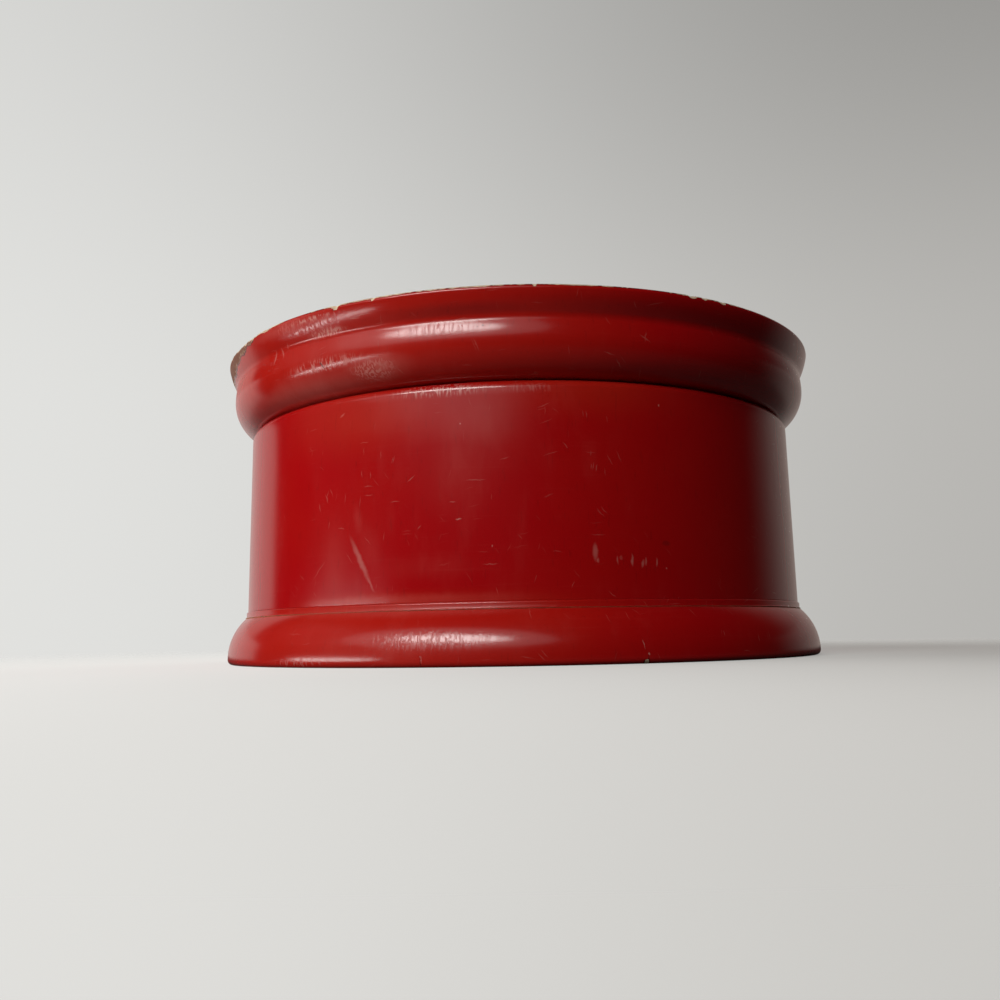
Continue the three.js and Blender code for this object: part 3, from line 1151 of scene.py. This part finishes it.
# Distances in metres over which a tone changes: across for the first two, outwards for the last.
BOUNCE_CHANGES = (-0.12, 0.04)
GLOW_CHANGES = (-0.08, 0.12)
FLOOR_FADES = (0.09, 0.34)


def make_floor():
    maker = bmesh.new()
    bmesh.ops.create_circle(maker, cap_ends=True, radius=FLOOR_RADIUS, segments=96)
    mesh = bpy.data.meshes.new("floor")
    maker.to_mesh(mesh)
    maker.free()
    floor = bpy.data.objects.new("floor", mesh)
    bpy.context.scene.collection.objects.link(floor)
    material, tree, place = start_material("Pale floor")
    reach = add(tree, "ShaderNodeVectorMath", {0: place}, operation="LENGTH").outputs["Value"]
    across = add(tree, "ShaderNodeSeparateXYZ", {0: place}).outputs["X"]
    rays = add(tree, "ShaderNodeLightPath").outputs
    bounce = blend(tree, ramp(tree, across, *BOUNCE_CHANGES), BOUNCE_LEFT, BOUNCE_RIGHT)
    colour = blend(tree, rays["Is Glossy Ray"], bounce, FLOOR_MIRRORED)
    colour = blend(tree, rays["Is Camera Ray"], colour, FLOOR_PALE)
    paint = add(tree, "ShaderNodeBsdfDiffuse", {"Color": colour})
    # The glow darkens to the right as painted shade.
    glow_with_painted_shade = blend(tree, ramp(tree, across, *GLOW_CHANGES), FLOOR_GLOW_LEFT, FLOOR_GLOW_PAINTED_SHADE)
    glow = add(tree, "ShaderNodeEmission", {"Color": glow_with_painted_shade})
    share = calc(tree, "MULTIPLY", rays["Is Camera Ray"], FLOOR_GLOW_SHARE)
    shown = add(tree, "ShaderNodeMixShader", {0: share, 1: paint.outputs[0], 2: glow.outputs[0]})
    clear = add(tree, "ShaderNodeBsdfTransparent")
    fade = ramp(tree, reach, *FLOOR_FADES)
    mixed = add(tree, "ShaderNodeMixShader", {0: fade, 1: shown.outputs[0], 2: clear.outputs[0]})
    add(tree, "ShaderNodeOutputMaterial", {"Surface": mixed.outputs[0]})
    mesh.materials.append(material)


make_floor()

# %% [markdown]
# The main light is a window at the front left, near enough that its light falls off round the
# box, and high enough that the upright wall hardly mirrors it. The lamps are ovals, which fade
# towards their ends in the lacquer as a curtained window does, and a large faint haze round the
# window softens its edges more. A low strip near the table lights the underside of the lid and
# gives it its lower highlight, broken into ticks by the grain. Two more windows, one at the left
# and one behind, only lighten the shade, so the lacquer doesn't mirror them.

# %% Window light
LIGHT_COLOUR = (1.0, 0.985, 0.96)
# Each lamp is a name, an azimuth and an elevation in degrees, a distance, a width and a height in
# metres, a radiance, the height on the axis that it faces, and whether the lacquer mirrors it.
LAMPS = (
    ("window", -26.5, 31.5, 0.55, 0.37, 0.105, 15.5, 0.0, True),
    ("window haze", -29, 33, 0.56, 0.80, 0.32, 0.8, 0.0, True),
    ("side window", -88, 30, 0.60, 0.50, 0.30, 5.0, 0.0, False),
    ("back window", 148, 16, 0.60, 0.50, 0.24, 9.0, 0.0, False),
    ("low strip", -66, -9.2, 0.335, 0.23, 0.018, 12.5, 0.060, True),
)


def make_lamp(name, azimuth, elevation, distance, width, height, radiance, aim_height, mirrored):
    """An oval of light that faces a point on the axis, from a place given as seen from there."""
    lamp = bpy.data.lights.new(name, "AREA")
    lamp.shape = "ELLIPSE"
    lamp.size = width
    lamp.size_y = height
    lamp.energy = radiance * math.pi * math.pi / 4 * width * height
    lamp.color = LIGHT_COLOUR
    around = math.radians(azimuth)
    above = math.radians(elevation)
    level = math.cos(above)
    outwards = Vector((math.sin(around) * level, -math.cos(around) * level, math.sin(above)))
    made = bpy.data.objects.new(name, lamp)
    made.location = Vector((0, 0, aim_height)) + outwards * distance
    made.rotation_euler = outwards.to_track_quat("Z", "Y").to_euler()
    made.visible_camera = False
    made.visible_glossy = mirrored
    bpy.context.scene.collection.objects.link(made)
    print(f"{name}: {lamp.energy:.2f} W")


for lamp_values in LAMPS:
    make_lamp(*lamp_values)

# %% [markdown]
# The room is a sky that depends only on direction. Behind the box it is pale, brighter on the left
# than on the right, and that is what the lacquer mirrors at both outlines. Higher up on the left
# it is duller, and below the table's level it is darker. In front it is dim, so the red stays
# deep. The camera sees a plainer pale tone all round, which keeps every view plain.

# %% The room
ROOM_LEFT = (0.76, 0.76, 0.74, 1)
ROOM_RIGHT = (0.46, 0.45, 0.43, 1)
ROOM_UP = (0.02, 0.02, 0.02, 1)
MIRRORED_LEFT = (0.64, 0.57, 0.54, 1)
MIRRORED_LEFT_ABOVE = (0.50, 0.36, 0.33, 1)
MIRRORED_RIGHT = (0.33, 0.285, 0.255, 1)
FRONT_DIM = (0.009, 0.008, 0.008, 1)
# Shares of a direction's length over which a tone changes: across, then upwards.
LEFT_TO_RIGHT = (-0.55, 0.60)
CEILING_DARKENS = (0.20, 0.65)
PALE_STARTS_HIGHER = (0.20, 0.27)
LEFT_DULLS = (0.215, 0.25)
BELOW_TABLE = (-0.4, 0.0)
BELOW_TABLE_SHARE = 0.32


def make_world():
    world = bpy.data.worlds.new("room")
    bpy.context.scene.world = world
    world.use_nodes = True
    tree = world.node_tree
    tree.nodes.clear()
    direction = add(tree, "ShaderNodeTexCoord").outputs["Generated"]
    axes = add(tree, "ShaderNodeSeparateXYZ", {0: direction}).outputs
    side = ramp(tree, axes["X"], *LEFT_TO_RIGHT)

    darkening = calc(tree, "MULTIPLY_ADD", side, 0.35, 0.12)
    upward = calc(tree, "MULTIPLY", ramp(tree, axes["Z"], *CEILING_DARKENS), darkening)
    seen = blend(tree, upward, blend(tree, side, ROOM_LEFT, ROOM_RIGHT), ROOM_UP)

    starts = calc(tree, "MULTIPLY_ADD", side, -0.23, 0.43)
    ends = calc(tree, "MULTIPLY_ADD", side, 0.26, 0.51)
    raised = calc(tree, "MULTIPLY", ramp(tree, axes["Z"], *PALE_STARTS_HIGHER), 0.12)
    depth = calc(tree, "SUBTRACT", axes["Y"], raised)
    above_table = ramp(tree, axes["Z"], *BELOW_TABLE, BELOW_TABLE_SHARE)
    behind = calc(tree, "MULTIPLY", ramp(tree, depth, starts, ends), above_table)
    left_tone = blend(
        tree, ramp(tree, axes["Z"], *LEFT_DULLS), MIRRORED_LEFT, MIRRORED_LEFT_ABOVE,
    )
    mirrored = blend(tree, behind, FRONT_DIM, blend(tree, side, left_tone, MIRRORED_RIGHT))

    camera_ray = add(tree, "ShaderNodeLightPath").outputs["Is Camera Ray"]
    colour = blend(tree, camera_ray, mirrored, seen)
    background = add(tree, "ShaderNodeBackground", {"Color": colour, "Strength": 1.0})
    add(tree, "ShaderNodeOutputWorld", {"Surface": background.outputs[0]})


make_world()
